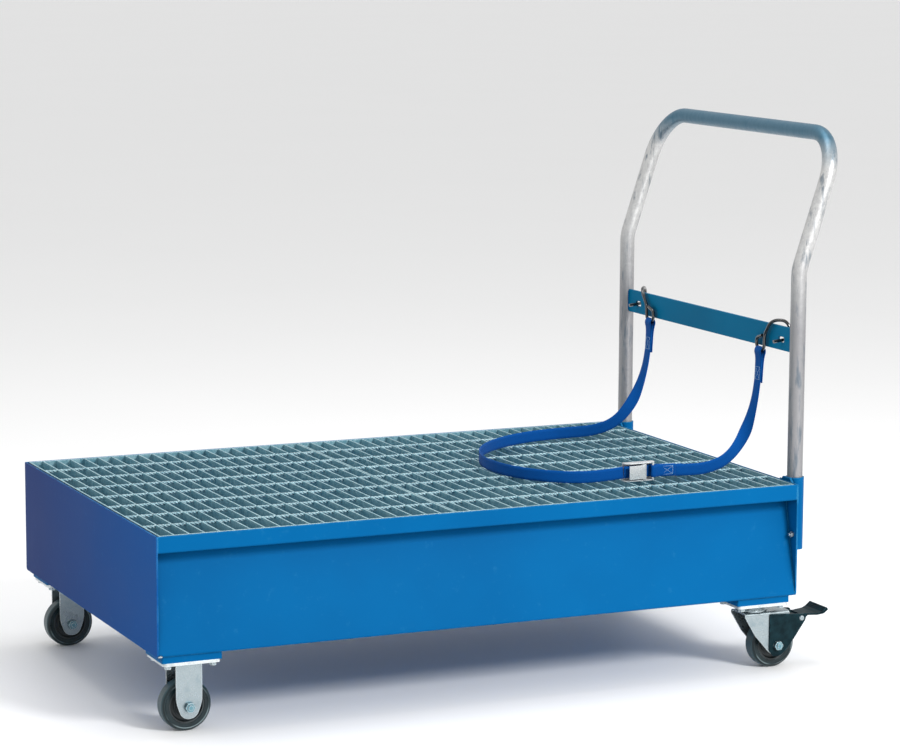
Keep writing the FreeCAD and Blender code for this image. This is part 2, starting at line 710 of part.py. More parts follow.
def buckle_cam():
    """The toothed roller with its thumb lever, lying over the webbing towards the buckle's mouth."""
    px = buckle_x + cam_offset
    py = buckle_y - pin_offset
    low = grating_top + buckle_sheet + cam_side_gap
    high = grating_top + buckle_width - buckle_sheet - cam_side_gap
    roller = rod_z(cam_radius, px, py, low, high)
    lever_outline = [(px, py - 6), (px - 36, py - 8), (px - 36, py - 5.5), (px, py - 2)]
    lever = upwards(lever_outline, [0, 1, 1, 0], low + 2, high - 2)
    cam = roller.fuse(lever).removeSplitter()
    return cam.cut(rod_z(pin_radius + running_gap, px, py, low, high))


def buckle():
    put("buckle_frame", buckle_frame())
    put("buckle_pins", *buckle_pins())
    put("buckle_cam", buckle_cam())


tray()
gratings()
caster_bolts()
rigid_casters()
swivel_casters()
handle()
strap()
buckle()
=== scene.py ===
import json
import math

import bmesh
import bpy
from mathutils import Matrix, Vector


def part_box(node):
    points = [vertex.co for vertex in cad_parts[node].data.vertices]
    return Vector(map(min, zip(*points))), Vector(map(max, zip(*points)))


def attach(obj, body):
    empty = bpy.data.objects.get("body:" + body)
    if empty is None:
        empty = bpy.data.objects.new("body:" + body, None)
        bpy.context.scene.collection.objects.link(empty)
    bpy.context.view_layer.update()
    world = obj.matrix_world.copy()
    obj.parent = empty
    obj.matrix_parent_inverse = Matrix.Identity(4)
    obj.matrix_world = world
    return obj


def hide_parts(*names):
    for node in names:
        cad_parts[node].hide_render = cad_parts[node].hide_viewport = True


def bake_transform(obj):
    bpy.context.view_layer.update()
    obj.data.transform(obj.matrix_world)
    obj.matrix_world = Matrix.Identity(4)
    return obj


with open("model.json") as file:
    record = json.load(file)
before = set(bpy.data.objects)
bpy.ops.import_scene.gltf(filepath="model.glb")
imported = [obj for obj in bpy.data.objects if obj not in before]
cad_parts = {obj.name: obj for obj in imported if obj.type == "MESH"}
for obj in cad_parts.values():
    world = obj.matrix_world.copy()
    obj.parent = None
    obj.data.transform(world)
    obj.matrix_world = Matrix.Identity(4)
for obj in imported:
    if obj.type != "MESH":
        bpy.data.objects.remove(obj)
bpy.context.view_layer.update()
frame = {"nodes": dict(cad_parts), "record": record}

# A mobile spill tray in metres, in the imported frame: X towards the push handle, Y across, Z up.
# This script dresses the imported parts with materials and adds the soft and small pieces: webbing,
# stitches, weld beads, twisted grating rods and pedal treads. Colours are linear red, green, blue, alpha.

MM = 0.001
SIDES = {"front": -1, "rear": 1}
TUBE_RADIUS = 16 * MM          # the push handle's


# ---- Camera --------------------------------------------------------------------------------------
CAMERA_PLACE = (-2.5369, -5.7251, 1.5297)
CAMERA_YAW = 0.4226       # radians, from +Y towards +X
CAMERA_PITCH = -0.1488    # below the horizon
CAMERA_ROLL = 0.0048
CAMERA_LENS = 122.33      # mm, on a film 36 mm wide
FILM_WIDTH = 36.0


def make_camera():
    """The photograph's viewpoint: from the front left, a little above the tray."""
    level = math.cos(CAMERA_PITCH)
    forward = Vector((math.sin(CAMERA_YAW) * level, math.cos(CAMERA_YAW) * level, math.sin(CAMERA_PITCH)))
    right = Vector((math.cos(CAMERA_YAW), -math.sin(CAMERA_YAW), 0))
    up = right.cross(forward)
    rolled_right = right * math.cos(CAMERA_ROLL) + up * math.sin(CAMERA_ROLL)
    rolled_up = up * math.cos(CAMERA_ROLL) - right * math.sin(CAMERA_ROLL)
    data = bpy.data.cameras.new("camera")
    data.sensor_width = FILM_WIDTH
    data.lens = CAMERA_LENS
    camera = bpy.data.objects.new("camera", data)
    turn = Matrix((rolled_right, rolled_up, -forward)).transposed()
    camera.matrix_world = Matrix.Translation(CAMERA_PLACE) @ turn.to_4x4()
    bpy.context.collection.objects.link(camera)
    bpy.context.scene.camera = camera


# ---- Places, read from the frame -----------------------------------------------------------------
def low(node):
    return Vector(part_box(node)[0])


def high(node):
    return Vector(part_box(node)[1])


def middle(node):
    return (low(node) + high(node)) / 2


grating_top = high("grating_right_border").z
tray_right = high("end_plate_right").x
plate_middle = middle("strap_plate").x
leg_y = high("strap_plate").y + TUBE_RADIUS
buckle = middle("buckle_frame")
buckle_half = (high("buckle_frame").x - low("buckle_frame").x) / 2

WEBBING = 25 * MM
WEBBING_THICKNESS = 2.0 * MM
EYE_THICKNESS = 1.8 * MM       # webbing pulled tight round a wire or a bar
HOOK_X = -10                   # mm from the plate's middle plane
HOOK_Y = 244
BUCKLE_GAP = 1.5 * MM          # between a strap's end and the buckle's frame

# The strap's route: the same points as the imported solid, from the plate's middle plane.
HANGING = [(HOOK_X, -HOOK_Y, 634), (-14, -HOOK_Y, 575), (-26, -246, 515), (-50, -250, 457),
           (-90, -254, 415)]
LOOP = [(-392, -258, 13.5), (-448, -237, 12.5), (-492, -196, 12.5), (-522, -140, 12.5), (-536, -76, 12.5),
        (-534, -10, 12.5), (-516, 54, 12.5), (-484, 112, 12.5), (-440, 162, 12.5), (-386, 203, 12.5),
        (-326, 233, 12.5), (-262, 250, 12.5), (-200, 256, 12.5), (-142, 257, 12.5)]
LEAD = [(-142, -256, 12.5), (-200, -259, 14.5)]


def from_plate(x, y, z):
    return Vector((plate_middle + x * MM, y * MM, z * MM))


def from_grating(x, y, z):
    return Vector((plate_middle + x * MM, y * MM, grating_top + z * MM))


# ---- Mesh helpers --------------------------------------------------------------------------------
def add_piece(name, mesh, material, body):
    piece = bpy.data.objects.new(name, mesh)
    bpy.context.collection.objects.link(piece)
    mesh.materials.append(material)
    if body:
        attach(piece, body)
    return piece


def loft(rings, closed_ends=True, ring_closed=True):
    """Vertices and faces of a skin through equal rings of points."""
    vertices = [point for ring in rings for point in ring]
    count = len(rings[0])
    faces = []
    last = count if ring_closed else count - 1
    for i in range(len(rings) - 1):
        for j in range(last):
            k = (j + 1) % count
            faces.append((i * count + j, i * count + k, (i + 1) * count + k, (i + 1) * count + j))
    if closed_ends:
        faces.append(tuple(range(count))[::-1])
        start = (len(rings) - 1) * count
        faces.append(tuple(range(start, start + count)))
    return vertices, faces


class Pile:
    """Several skins gathered into one mesh."""

    def __init__(self):
        self.vertices = []
        self.faces = []

    def add(self, vertices, faces):
        start = len(self.vertices)
        self.vertices += [tuple(v) for v in vertices]
        self.faces += [tuple(start + i for i in face) for face in faces]

    def mesh(self, name, smooth=True):
        mesh = bpy.data.meshes.new(name)
        mesh.from_pydata(self.vertices, [], self.faces)
        mesh.validate()
        tidy = bmesh.new()
        tidy.from_mesh(mesh)
        bmesh.ops.recalc_face_normals(tidy, faces=tidy.faces)
        tidy.to_mesh(mesh)
        tidy.free()
        mesh.polygons.foreach_set("use_smooth", [smooth] * len(mesh.polygons))
        return mesh


def spline_points(points):
    """Points along the smooth NURBS line that the given control points draw."""
    data = bpy.data.curves.new("route", "CURVE")
    data.dimensions = "3D"
    spline = data.splines.new("NURBS")
    spline.points.add(len(points) - 1)
    for target, point in zip(spline.points, points):
        target.co = (*point, 1)
    spline.order_u = 3
    spline.use_endpoint_u = True
    spline.resolution_u = 12
    holder = bpy.data.objects.new("route", data)
    mesh = bpy.data.meshes.new_from_object(holder)
    line = [v.co.copy() for v in mesh.vertices]
    bpy.data.objects.remove(holder)
    bpy.data.meshes.remove(mesh)
    return line


# ---- Node materials ------------------------------------------------------------------------------
class Shader:
    """A material being wired up: one Principled shader and the nodes that feed it."""

    def __init__(self, name):
        self.material = bpy.data.materials.new(name)
        self.material.use_nodes = True
        self.tree = self.material.node_tree
        self.surface = self.tree.nodes["Principled BSDF"]
        self.place = self.node("ShaderNodeTexCoord").outputs["Object"]

    def node(self, kind, **settings):
        made = self.tree.nodes.new(kind)
        for key, value in settings.items():
            setattr(made, key, value)
        return made

    def feed(self, socket, value):
        if isinstance(value, bpy.types.NodeSocket):
            self.tree.links.new(value, socket)
        else:
            socket.default_value = value

    def set(self, **values):
        for key, value in values.items():
            self.feed(self.surface.inputs[key.replace("_", " ")], value)

    def stretched(self, x, y, z):
        mapping = self.node("ShaderNodeMapping")
        self.feed(mapping.inputs["Vector"], self.place)
        self.feed(mapping.inputs["Scale"], (x, y, z))
        return mapping.outputs["Vector"]

    def noise(self, scale, detail=4, roughness=0.55, vector=None):
        made = self.node("ShaderNodeTexNoise")
        self.feed(made.inputs["Vector"], vector or self.place)
        self.feed(made.inputs["Scale"], scale)
        self.feed(made.inputs["Detail"], detail)
        self.feed(made.inputs["Roughness"], roughness)
        return made.outputs["Fac"]

    def cells(self, scale, vector=None):
        made = self.node("ShaderNodeTexVoronoi")
        self.feed(made.inputs["Vector"], vector or self.place)
        self.feed(made.inputs["Scale"], scale)
        split = self.node("ShaderNodeSeparateColor")
        self.feed(split.inputs["Color"], made.outputs["Color"])
        return split.outputs["Red"]

    def own_box(self, axis):
        """From 0 to 1 along one axis of the piece's own box."""
        split = self.node("ShaderNodeSeparateXYZ")
        self.feed(split.inputs["Vector"], self.node("ShaderNodeTexCoord").outputs["Generated"])
        return split.outputs[axis]

    def wheel_radius(self):
        """0 on a wheel's axis and 1 at its tread, from the wheel's own box."""
        own_box = self.node("ShaderNodeTexCoord").outputs["Generated"]
        centred = self.node("ShaderNodeMapping")
        self.feed(centred.inputs["Vector"], own_box)
        self.feed(centred.inputs["Location"], (-1, 0, -1))
        self.feed(centred.inputs["Scale"], (2, 0, 2))
        length = self.node("ShaderNodeVectorMath", operation="LENGTH")
        self.feed(length.inputs[0], centred.outputs["Vector"])
        return length.outputs["Value"]

    def lip(self, radius, half_width):
        """A rounded ring on a wheel's side: 1 along its crest, 0 beyond its half width."""
        away = self.math("ABSOLUTE", self.math("SUBTRACT", self.wheel_radius(), radius))
        slope = self.spread(away, 0, half_width, 1, 0)
        return self.math("SINE", self.math("MULTIPLY", slope, math.pi / 2))

    def spread(self, value, from_low, from_high, to_low, to_high):
        made = self.node("ShaderNodeMapRange", clamp=True)
        for key, number in (("Value", value), ("From Min", from_low), ("From Max", from_high),
                            ("To Min", to_low), ("To Max", to_high)):
            self.feed(made.inputs[key], number)
        return made.outputs["Result"]

    def math(self, operation, first, second=0.0):
        made = self.node("ShaderNodeMath", operation=operation)
        self.feed(made.inputs[0], first)
        self.feed(made.inputs[1], second)
        return made.outputs["Value"]

    def mix(self, factor, first, second):
        made = self.node("ShaderNodeMix", data_type="RGBA")
        self.feed(made.inputs["Factor"], factor)
        self.feed(made.inputs[6], first)
        self.feed(made.inputs[7], second)
        return made.outputs[2]

    def edges(self, radius):
        """1 where the surface turns within the radius, 0 on flat stretches."""
        bevel = self.node("ShaderNodeBevel", samples=4)
        self.feed(bevel.inputs["Radius"], radius)
        geometry = self.node("ShaderNodeNewGeometry")
        dot = self.node("ShaderNodeVectorMath", operation="DOT_PRODUCT")
        self.feed(dot.inputs[0], bevel.outputs["Normal"])
        self.feed(dot.inputs[1], geometry.outputs["Normal"])
        return self.spread(dot.outputs["Value"], 0.995, 0.85, 0.0, 1.0)

    def crevice(self, reach):
        """1 deep in corners and round the feet of nuts and bolts, 0 in the open."""
        shelter = self.node("ShaderNodeAmbientOcclusion", samples=6)
        self.feed(shelter.inputs["Distance"], reach)
        return self.spread(shelter.outputs["AO"], 0.45, 0.85, 1, 0)

    def relief(self, height, distance, strength=1.0, rounded=0.0):
        bump = self.node("ShaderNodeBump")
        self.feed(bump.inputs["Height"], height)
        self.feed(bump.inputs["Distance"], distance)
        self.feed(bump.inputs["Strength"], strength)
        if rounded:
            bevel = self.node("ShaderNodeBevel", samples=4)
            self.feed(bevel.inputs["Radius"], rounded)
            self.feed(bump.inputs["Normal"], bevel.outputs["Normal"])
        self.feed(self.surface.inputs["Normal"], bump.outputs["Normal"])


def darker(tone, share):
    return tuple(share * part for part in tone[:3]) + (1,)


def paint(name, deep, bright, dust_and_highlight_tone, specular=0.03, far_shade_tone=None):
    """Powder coat: fine orange-peel skin, faint cloudy tone, painted shade in corners and under overhangs
    such as the rim, and rubbed edges that also carry a painted highlight; an optional far tone paints shade
    towards the far end of the piece.
    """
    s = Shader(name)
    cloud = s.noise(3.0, 3)
    tone = s.mix(s.spread(cloud, 0.35, 0.65, 0, 1), deep, bright)
    # painted shade: the paint darkens to a violet tone towards the far end of the piece's own box
    if far_shade_tone:
        tone = s.mix(s.spread(s.own_box("Y"), 0.0, 0.9, 0.15, 1), tone, far_shade_tone)
    dust = s.spread(s.noise(55.0, 6, 0.7), 0.60, 0.85, 0, 0.16)
    dusty = s.mix(dust, tone, dust_and_highlight_tone)
    # painted shade: corners and the band under the rim darkened towards the deep tone
    corners = s.math("MULTIPLY", s.crevice(22 * MM), 0.7)
    corner_shaded = s.mix(corners, dusty, darker(deep, 0.3))
    # Edges lightened towards the dust tone: partly rubbed paint, partly a painted highlight along every
    # edge.
    scuffs = s.spread(s.noise(38.0, 5, 0.65), 0.42, 0.58, 0.25, 1)
    edge_tone = s.math("MULTIPLY", s.edges(2.2 * MM), s.math("MULTIPLY", scuffs, 0.95))
    s.set(Base_Color=s.mix(edge_tone, corner_shaded, dust_and_highlight_tone), Roughness=s.spread(cloud, 0.3, 0.7, 0.38, 0.48),
          Specular_IOR_Level=specular)
    s.relief(s.noise(420.0, 2), 0.12 * MM, 0.35, 1.2 * MM)
    return s.material


def handle_stains_and_shade(s, tone):
    """The push handle's legs are darker towards their feet, and its crossbar carries a painted shade of
    dark blue.
    """
    height = s.own_box("Z")               # 0 at the feet, 1 at the top of the crossbar
    darkened = s.mix(s.spread(height, 0.52, 0.72, 0.75, 0), tone, (0.20, 0.20, 0.215, 1))
    marks = s.spread(s.noise(1.0, 4, 0.6, s.stretched(95, 95, 14)), 0.55, 0.68, 0, 0.7)
    stained = s.mix(marks, darkened, (0.09, 0.13, 0.17, 1))
    # painted shade: the top of the handle, round the crossbar, darkened to a dark blue
    return s.mix(s.spread(height, 0.90, 0.975, 0, 0.95), stained, (0.035, 0.13, 0.20, 1))


def galvanised(name, grain, light, dark, streaks, metallic, stains_and_shade=None):
    """Hot-dip zinc: crystal spangle in a narrow range of greys, dull runs and painted highlights along
    edges.
    """
    s = Shader(name)
    spangle = s.cells(grain)
    fine = s.cells(grain * 2.7)
    flakes = s.math("ADD", s.math("MULTIPLY", spangle, 0.6), s.math("MULTIPLY", fine, 0.4))
    base = s.mix(s.spread(flakes, 0.1, 0.9, 0, 1), dark, light)
    runs = s.spread(s.noise(1.0, 5, 0.6, s.stretched(*streaks)), 0.42, 0.72, 0, 0.55)
    darkened = s.mix(runs, base, darker(dark, 0.78))
    if stains_and_shade:
        darkened = stains_and_shade(s, darkened)
    # painted highlight: edges lightened towards a pale zinc grey
    bright = s.math("MULTIPLY", s.edges(1.0 * MM), 0.7)
    rough = s.math("ADD", s.spread(flakes, 0, 1, 0.30, 0.46), s.math("MULTIPLY", runs, 0.18))
    s.set(Base_Color=s.mix(bright, darkened, (0.78, 0.84, 0.86, 1)), Roughness=rough, Metallic=metallic)
    s.relief(flakes, 0.06 * MM, 0.4, 0.6 * MM)
    return s.material


def zinc_plate(name, dark, light, grime_and_shade_tone, metallic=0.9):
    """Zinc plating on pressed steel: finely speckled, with cloudy handling marks, dirt and painted shade
    darkening its crevices, and painted highlights along its edges.
    """
    s = Shader(name)
    speckle = s.noise(900.0, 3, 0.7)
    marks = s.noise(45.0, 5, 0.65)
    base = s.mix(s.spread(speckle, 0.35, 0.65, 0, 1), dark, light)
    stained = s.mix(s.spread(marks, 0.52, 0.75, 0, 0.5), base, (0.18, 0.26, 0.30, 1))
    # painted highlight: edges lightened towards a pale zinc
    lit = s.math("MULTIPLY", s.edges(1.8 * MM), 0.9)
    # crevices darkened by dirt and painted shade
    grime_and_shade = s.mix(s.math("MULTIPLY", s.crevice(5 * MM), 0.85), stained, grime_and_shade_tone)
    s.set(Base_Color=s.mix(lit, grime_and_shade, (0.80, 0.86, 0.88, 1)), Metallic=s.spread(lit, 0, 1, metallic, 0.3),
          Roughness=s.spread(marks, 0.3, 0.7, 0.22, 0.38))
    s.relief(speckle, 0.04 * MM, 0.5, 0.8 * MM)
    return s.material


def black_steel():
    """Black finish on the brake parts: satin, faintly blue, scratched grey along its edges."""
    s = Shader("black_steel")
    patches = s.noise(60.0, 5, 0.6)
    base = s.mix(s.spread(patches, 0.35, 0.7, 0, 1), (0.003, 0.012, 0.016, 1), (0.008, 0.028, 0.036, 1))
    scuffs = s.spread(s.noise(120.0, 5, 0.7), 0.45, 0.6, 0, 1)
    edge_tone = s.math("MULTIPLY", s.edges(1.2 * MM), s.math("MULTIPLY", scuffs, 0.6))
    s.set(Base_Color=s.mix(edge_tone, base, (0.09, 0.24, 0.30, 1)), Specular_IOR_Level=0.06,
          Roughness=s.spread(patches, 0.3, 0.7, 0.34, 0.5))
    s.relief(s.noise(500.0, 3), 0.08 * MM, 0.4, 0.9 * MM)
    return s.material


def tyre_rubber():
    """Solid rubber: near black, with moulded rings round its sides, a dusty bloom, fine pits, a painted
    reflection across the tread band and a painted highlight along the shoulder ring.
    """
    s = Shader("tyre_rubber")
    bloom = s.noise(40.0, 5, 0.65)
    base = s.mix(s.spread(bloom, 0.4, 0.72, 0, 1), (0.004, 0.013, 0.016, 1), (0.012, 0.030, 0.036, 1))
    # painted reflection: the tread band lightened to a blue grey
    tread = s.spread(s.wheel_radius(), 0.955, 0.985, 0, 1)
    base = s.mix(tread, base, (0.032, 0.066, 0.078, 1))
    shoulder = s.lip(0.88, 0.035)
    lips = s.math("ADD", s.lip(0.64, 0.05), shoulder)
    # painted highlight: the shoulder ring lightened in broken arcs
    shoulder_highlight = s.math("MULTIPLY", shoulder, s.spread(s.noise(16.0, 2), 0.42, 0.56, 0.08, 0.75))
    base = s.mix(shoulder_highlight, base, (0.26, 0.34, 0.36, 1))
    s.set(Base_Color=base, Roughness=s.spread(bloom, 0.3, 0.7, 0.26, 0.42), Specular_IOR_Level=0.35)
    pits = s.math("MULTIPLY", s.noise(700.0, 4, 0.7), 0.12)
    s.relief(s.math("ADD", lips, pits), 1.6 * MM, 1.0)
    return s.material


def wheel_plastic():
    """Moulded wheel centre: dark grey, fine texture, slightly shiny on its ribs."""
    s = Shader("wheel_plastic")
    texture = s.noise(1200.0, 3)
    base = s.mix(s.noise(30.0, 3), (0.018, 0.026, 0.029, 1), (0.038, 0.048, 0.052, 1))
    s.set(Base_Color=base, Roughness=s.spread(texture, 0.3, 0.7, 0.4, 0.55))
    s.relief(texture, 0.05 * MM, 0.5, 0.5 * MM)
    return s.material


def coated_wire():
    """Thick glossy black dip on the hook's wire, with slow ripples."""
    s = Shader("coated_wire")
    ripple = s.noise(90.0, 3)
    base = s.mix(ripple, (0.002, 0.003, 0.004, 1), (0.008, 0.010, 0.012, 1))
    s.set(Base_Color=base, Roughness=s.spread(ripple, 0.3, 0.7, 0.10, 0.20), Coat_Weight=1.0)
    s.relief(ripple, 0.25 * MM, 0.4)
    return s.material


def webbing():
    """Woven polyester: chevron ribs across the width, from the ribbon's own coordinates."""
    s = Shader("webbing")
    grid = s.node("ShaderNodeUVMap", uv_map="ribbon")
    split = s.node("ShaderNodeSeparateXYZ")
    s.feed(split.inputs["Vector"], grid.outputs["UV"])
    across = split.outputs["X"]           # millimetres from one edge
    along = split.outputs["Y"]            # millimetres from the start
    chevron = s.math("PINGPONG", across, 4.2)
    rib = s.math("SINE", s.math("MULTIPLY", s.math("ADD", along, chevron), 2 * math.pi / 2.1))
    yarn = s.math("SINE", s.math("MULTIPLY", across, 2 * math.pi / 1.05))
    weave = s.math("ADD", s.math("MULTIPLY", rib, 0.6), s.math("MULTIPLY", yarn, 0.4))
    height = s.spread(weave, -1, 1, 0, 1)
    fibre = s.noise(2600.0, 3)
    shade = s.math("ADD", s.math("MULTIPLY", height, 0.75), s.math("MULTIPLY", fibre, 0.25))
    base = s.mix(shade, (0.000, 0.034, 0.175, 1), (0.000, 0.100, 0.395, 1))
    s.set(Base_Color=base, Roughness=0.75, Sheen_Weight=0.06, Sheen_Roughness=0.4, Specular_IOR_Level=0.08)
    s.relief(height, 0.25 * MM, 0.8)
    return s.material


def thread():
    """Twisted sewing thread, lighter than the webbing."""
    s = Shader("thread")
    fibre = s.noise(1800.0, 3)
    s.set(Base_Color=s.mix(fibre, (0.20, 0.40, 0.58, 1), (0.46, 0.64, 0.76, 1)), Roughness=0.6,
          Sheen_Weight=0.3)
    s.relief(fibre, 0.1 * MM, 0.6)
    return s.material


def floor_paint():
    s = Shader("floor_paint")
    tone = s.noise(0.8, 3)
    s.set(Base_Color=s.mix(tone, (0.93, 0.93, 0.93, 1), (0.95, 0.95, 0.95, 1)), Roughness=0.6)
    return s.material


# ---- Strap ---------------------------------------------------------------------------------------
def ribbon_frame(point, tangent, upright):
    """The ribbon's width direction: across the tray where it hangs, upright where it stands on edge."""
    width = Vector((0, 1, 0)).lerp(Vector((0, 0, 1)), upright)
    width -= tangent * width.dot(tangent)
    width.normalize()
    return width, tangent.cross(width)


def ribbon(name, line, uprights, material, body, thickness=WEBBING_THICKNESS):
    """A flat woven strip along a line, with rounded selvedges and a coordinate grid in millimetres."""
    half_width = WEBBING / 2
    half = thickness / 2
    shoulder = half_width - half * 0.6
    section = [(-half_width, 0), (-shoulder, half), (-half_width / 2, half), (0, half),
               (half_width / 2, half), (shoulder, half), (half_width, 0),
               (shoulder, -half), (half_width / 2, -half), (0, -half), (-half_width / 2, -half),
               (-shoulder, -half)]
    rings = []
    run = [0.0]
    for i, point in enumerate(line):
        before = line[max(i - 1, 0)]
        after = line[min(i + 1, len(line) - 1)]
        width, normal = ribbon_frame(point, (after - before).normalized(), uprights[i])
        rings.append([point + width * w + normal * t for w, t in section])
        if i:
            run.append(run[-1] + (point - line[i - 1]).length)
    vertices, faces = loft(rings)
    mesh = bpy.data.meshes.new(name)
    mesh.from_pydata([tuple(v) for v in vertices], [], faces)
    grid = mesh.uv_layers.new(name="ribbon")
    count = len(section)
    for polygon in mesh.polygons:
        for corner in polygon.loop_indices:
            vertex = mesh.loops[corner].vertex_index
            across = section[vertex % count][0] + half_width
            grid.data[corner].uv = (across / MM, run[vertex // count] / MM)
    mesh.polygons.foreach_set("use_smooth", [True] * len(mesh.polygons))
    return add_piece(name, mesh, material, body)


def smooth_step(value):
    value = min(max(value, 0.0), 1.0)
    return value * value * (3 - 2 * value)


def uprights_of(line):
    """0 where the webbing hangs from its hook, turning to 1 by the time it reaches the grating."""
    start = 0.60
    stop = 0.405
    return [smooth_step((start - point.z) / (start - stop)) for point in line]


def make_strap(materials):
    hanging = [from_plate(*point) for point in HANGING]
    mouth = Vector((buckle.x + buckle_half + BUCKLE_GAP, buckle.y, buckle.z))
    fixed = spline_points(hanging + [from_grating(*point) for point in LEAD] + [mouth])
    at_bar, at_mouth = buckle_webbing(materials)
    short = ribbon("strap_short_webbing", fixed, uprights_of(fixed), materials["webbing"], None)
    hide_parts("strap_fixed_part")
    hook_eye("front", materials) + at_bar
    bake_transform(short)

    rear = [Vector((p.x, -p.y, p.z)) for p in hanging[::-1]]
    tail = Vector((buckle.x - buckle_half - BUCKLE_GAP, buckle.y, buckle.z))
    loop = spline_points([tail] + [from_grating(*point) for point in LOOP] + rear)
    long = ribbon("strap_long_webbing", loop, uprights_of(loop), materials["webbing"], None)
    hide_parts("strap_long_part")
    hook_eye("rear", materials) + at_mouth
    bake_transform(long)


def flat_line(points):
    return spline_points([Vector(point) for point in points])


def hook_eye(name, materials):
    """Webbing folded over the hook's wire and sewn to the strap below it."""
    x = plate_middle + HOOK_X * MM
    y = SIDES[name] * HOOK_Y * MM
    half_loop = [(2.2, 572), (2.2, 606), (3.2, 626), (7.5, 640)]     # mm from the hook, and above the floor
    outline = half_loop + [(0, 650)] + [(-dx, z) for dx, z in half_loop[::-1]]
    lean = [(x - 3 * MM * smooth_step((634 - z) / 60) + dx * MM, y, z * MM) for dx, z in outline]
    line = flat_line(lean)
    eye = ribbon("strap_eye_" + name, line, [0] * len(line), materials["webbing"], "tray", EYE_THICKNESS)
    pile = Pile()
    for face in (-1, 1):
        centre = Vector((x - 2.2 * MM + face * 3.1 * MM, y, 0.592))
        sewn_box(pile, centre, Vector((0, 1, 0)), Vector((0.05, 0, 1)).normalized())
    stitches = add_piece("stitches_" + name, pile.mesh("stitches"), materials["thread"], "tray")
    return [eye, stitches]


def stitch(pile, start, end, radius):
    along = end - start
    side = along.normalized().orthogonal().normalized()
    other = along.normalized().cross(side)
    rings = []
    for where, reach in ((0, 0.35), (0.25, 1), (0.75, 1), (1, 0.35)):
        centre = start + along * where
        rings.append([centre + (side * math.cos(a) + other * math.sin(a)) * radius * reach
                      for a in (k * math.pi / 3 for k in range(6))])
    pile.add(*loft(rings))


def sewn_line(pile, start, end):
    pitch = 3.4 * MM
    count = max(1, round((end - start).length / pitch))
    step = (end - start) / count
    for i in range(count):
        stitch(pile, start + step * (i + 0.1), start + step * (i + 0.82), 0.45 * MM)


def sewn_box(pile, centre, across, along):
    """A box of stitches with a cross in it."""
    half_across = across * 8.5 * MM
    half_along = along * 13 * MM
    corners = [centre - half_across - half_along, centre + half_across - half_along,
               centre + half_across + half_along, centre - half_across + half_along]
    for i in range(4):
        sewn_line(pile, corners[i], corners[(i + 1) % 4])
    sewn_line(pile, corners[0], corners[2])
    sewn_line(pile, corners[1], corners[3])


def buckle_webbing(materials):
    """The short part's end sewn round the buckle's bar, and the long part's tail out of its mouth."""
    x, y, z = buckle
    # Both outlines are in mm from the buckle's middle, along the strap and across it.
    bar = [(84, -1.9), (60, -1.9), (42, -3.5), (30, -10.8), (24.2, -6), (30, -1.2), (42, 1.4), (60, 2.2),
           (84, 2.2)]
    line = flat_line([(x + dx * MM, y + dy * MM, z - 0.03 * (dx - 24) * MM) for dx, dy in bar])
    bar_eye = ribbon("strap_eye_buckle", line, [1] * len(line), materials["webbing"], "grating_right",
                     EYE_THICKNESS)
    tail = [(-34, 0), (-14, 3.4), (8, 3.6), (30, 4.6), (50, 6.6), (74, 10.5), (94, 15.5), (108, 20)]
    drop = [0, 0, 0, 0, 1.2, 3.8, 5.8, 6.3]      # mm that the free end sags at each point
    line = flat_line([(x + dx * MM, y + dy * MM, z - fall * MM) for (dx, dy), fall in zip(tail, drop)])
    tail_piece = ribbon("strap_tail", line, [1] * len(line), materials["webbing"], "grating_right")
    pile = Pile()
    centre = Vector((x + 64 * MM, y - 2.9 * MM, z - 1.2 * MM))
    sewn_box(pile, centre, Vector((0, 0, 1)), Vector((1, 0, 0)))
    stitches = add_piece("stitches_buckle", pile.mesh("stitches"), materials["thread"], "grating_right")
    return [bar_eye, stitches], [tail_piece]


# ---- Small pieces --------------------------------------------------------------------------------
def tread_ribs(name, material):
    """Raised bars across the sloping tread of a brake pedal."""
    box_high = high("brake_pedal_" + name)
    centre_y = middle("brake_pedal_" + name).y
    pile = Pile()
    for i in range(3):
        down = (2.6 + 3.9 * i) * MM          # from the tread's top edge, down its slope of 40 degrees
        x = box_high.x - 3.2 * MM - 0.77 * down
        z = box_high.z - 0.3 * MM - 0.64 * down
        rings = []
        for along in (-31, -30, 30, 31):
            reach = 1.1 * MM if abs(along) == 30 else 0.5 * MM
            rings.append([Vector((x + reach * math.cos(a), centre_y + along * MM, z + reach * math.sin(a)))
                          for a in (k * math.pi / 4 for k in range(8))])
        pile.add(*loft(rings))
    add_piece("pedal_ribs_" + name, pile.mesh("ribs"), material, "pedal_" + name)


ROD_COUNT = 7              # in each grating
ROD_TWIST = 32 * MM        # the length of one full turn


def twisted_rods(panel, material):
    """Square rods twisted along their length, pressed into the bars' tops."""
    node = "grating_" + panel + "_rods"
    start = low(node)
    end = high(node)
    size = end.z - start.z
    pitch = (end.y - start.y - size) / (ROD_COUNT - 1)
    step = 3 * MM
    rings_count = int((end.x - start.x) / step) + 1
    pile = Pile()
    for i in range(ROD_COUNT):
        centre_y = start.y + size / 2 + i * pitch
        rings = []
        for j in range(rings_count + 1):
            x = min(start.x + j * step, end.x)
            turn = 2 * math.pi * (x - start.x) / ROD_TWIST
            ring = []
            for corner in range(4):
                angle = turn + math.pi / 4 + corner * math.pi / 2
                reach = 0.66 * size
                ring.append(Vector((x, centre_y + reach * math.cos(angle), (start.z + end.z) / 2 - 0.4 * MM
                                    + 0.85 * reach * math.sin(angle))))
            rings.append(ring)
        pile.add(*loft(rings))
    piece = add_piece("grating_" + panel + "_twisted_rods", pile.mesh("rods", False), material,
                      "grating_" + panel)
    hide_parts(node)


